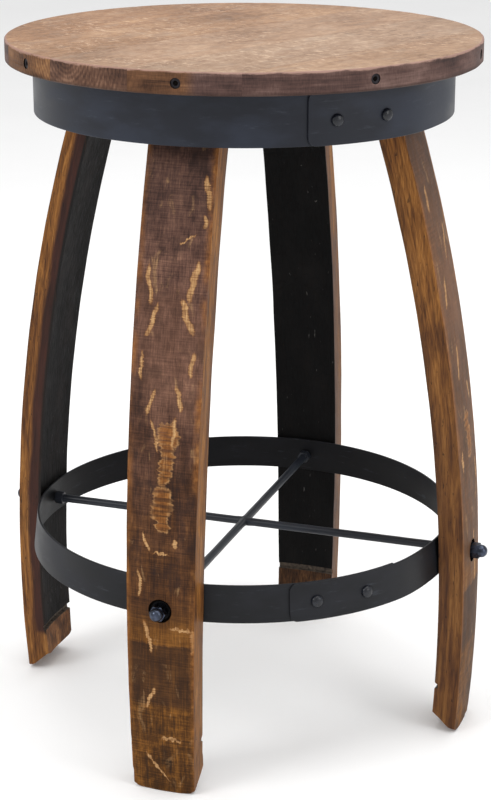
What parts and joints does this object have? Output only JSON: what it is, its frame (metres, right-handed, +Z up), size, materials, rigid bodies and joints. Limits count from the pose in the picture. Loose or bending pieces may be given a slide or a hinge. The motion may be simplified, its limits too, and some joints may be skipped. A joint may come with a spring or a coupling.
{
  "type": "bar stool with footrest",
  "caption": "Round board seat on curved stave legs with a steel apron hoop, and a riveted steel footrest hoop tied to the legs by crossed rods and domed nuts.",
  "frame": {"origin": "centre of the bounding box's base, on the floor under the middle of the seat", "axes": "+Z up, legs on +X, -X, +Y and -Y; -Y is the front leg"},
  "size_m": [0.49, 0.49, 0.66],
  "materials": {
    "seat_wood": "sanded and oiled, matt",
    "frame_wood": "plain, unfinished",
    "leg_wood": "dark weathered outside, charred black inside",
    "steel": "dark blue-grey satin paint",
    "fixing": "black oxide"
  },
  "bodies": {
    "root": {"seat_board_1": "seat_wood", "seat_board_2": "seat_wood", "seat_board_3": "seat_wood", "seat_board_4": "seat_wood", "seat_board_5": "seat_wood", "edge_screw_1": "fixing", "edge_screw_2": "fixing", "edge_screw_3": "fixing", "edge_screw_4": "fixing", "edge_screw_5": "fixing", "edge_screw_6": "fixing", "edge_screw_7": "fixing", "edge_screw_8": "fixing", "support_disc": "frame_wood", "seat_screw_1": "fixing", "seat_screw_2": "fixing", "seat_screw_3": "fixing", "seat_screw_4": "fixing", "seat_screw_5": "fixing", "seat_screw_6": "fixing", "seat_screw_7": "fixing", "seat_screw_8": "fixing", "rail_side_to_side": "frame_wood", "rail_front_to_back": "frame_wood", "apron_hoop": "steel", "apron_rivet_1": "steel", "apron_rivet_2": "steel", "leg_front": "leg_wood", "leg_screw_front_a": "fixing", "leg_screw_front_b": "fixing", "leg_right": "leg_wood", "leg_screw_right_a": "fixing", "leg_screw_right_b": "fixing", "leg_back": "leg_wood", "leg_screw_back_a": "fixing", "leg_screw_back_b": "fixing", "leg_left": "leg_wood", "leg_screw_left_a": "fixing", "leg_screw_left_b": "fixing", "footrest_hoop": "steel", "footrest_rivet_1": "steel", "footrest_rivet_2": "steel", "cross_rod_side_to_side": "steel", "cross_rod_front_to_back": "steel", "washer_front": "fixing", "dome_nut_front": "fixing", "inner_nut_front": "fixing", "washer_right": "fixing", "dome_nut_right": "fixing", "inner_nut_right": "fixing", "washer_back": "fixing", "dome_nut_back": "fixing", "inner_nut_back": "fixing", "washer_left": "fixing", "dome_nut_left": "fixing", "inner_nut_left": "fixing"}
  },
  "joints": []
}
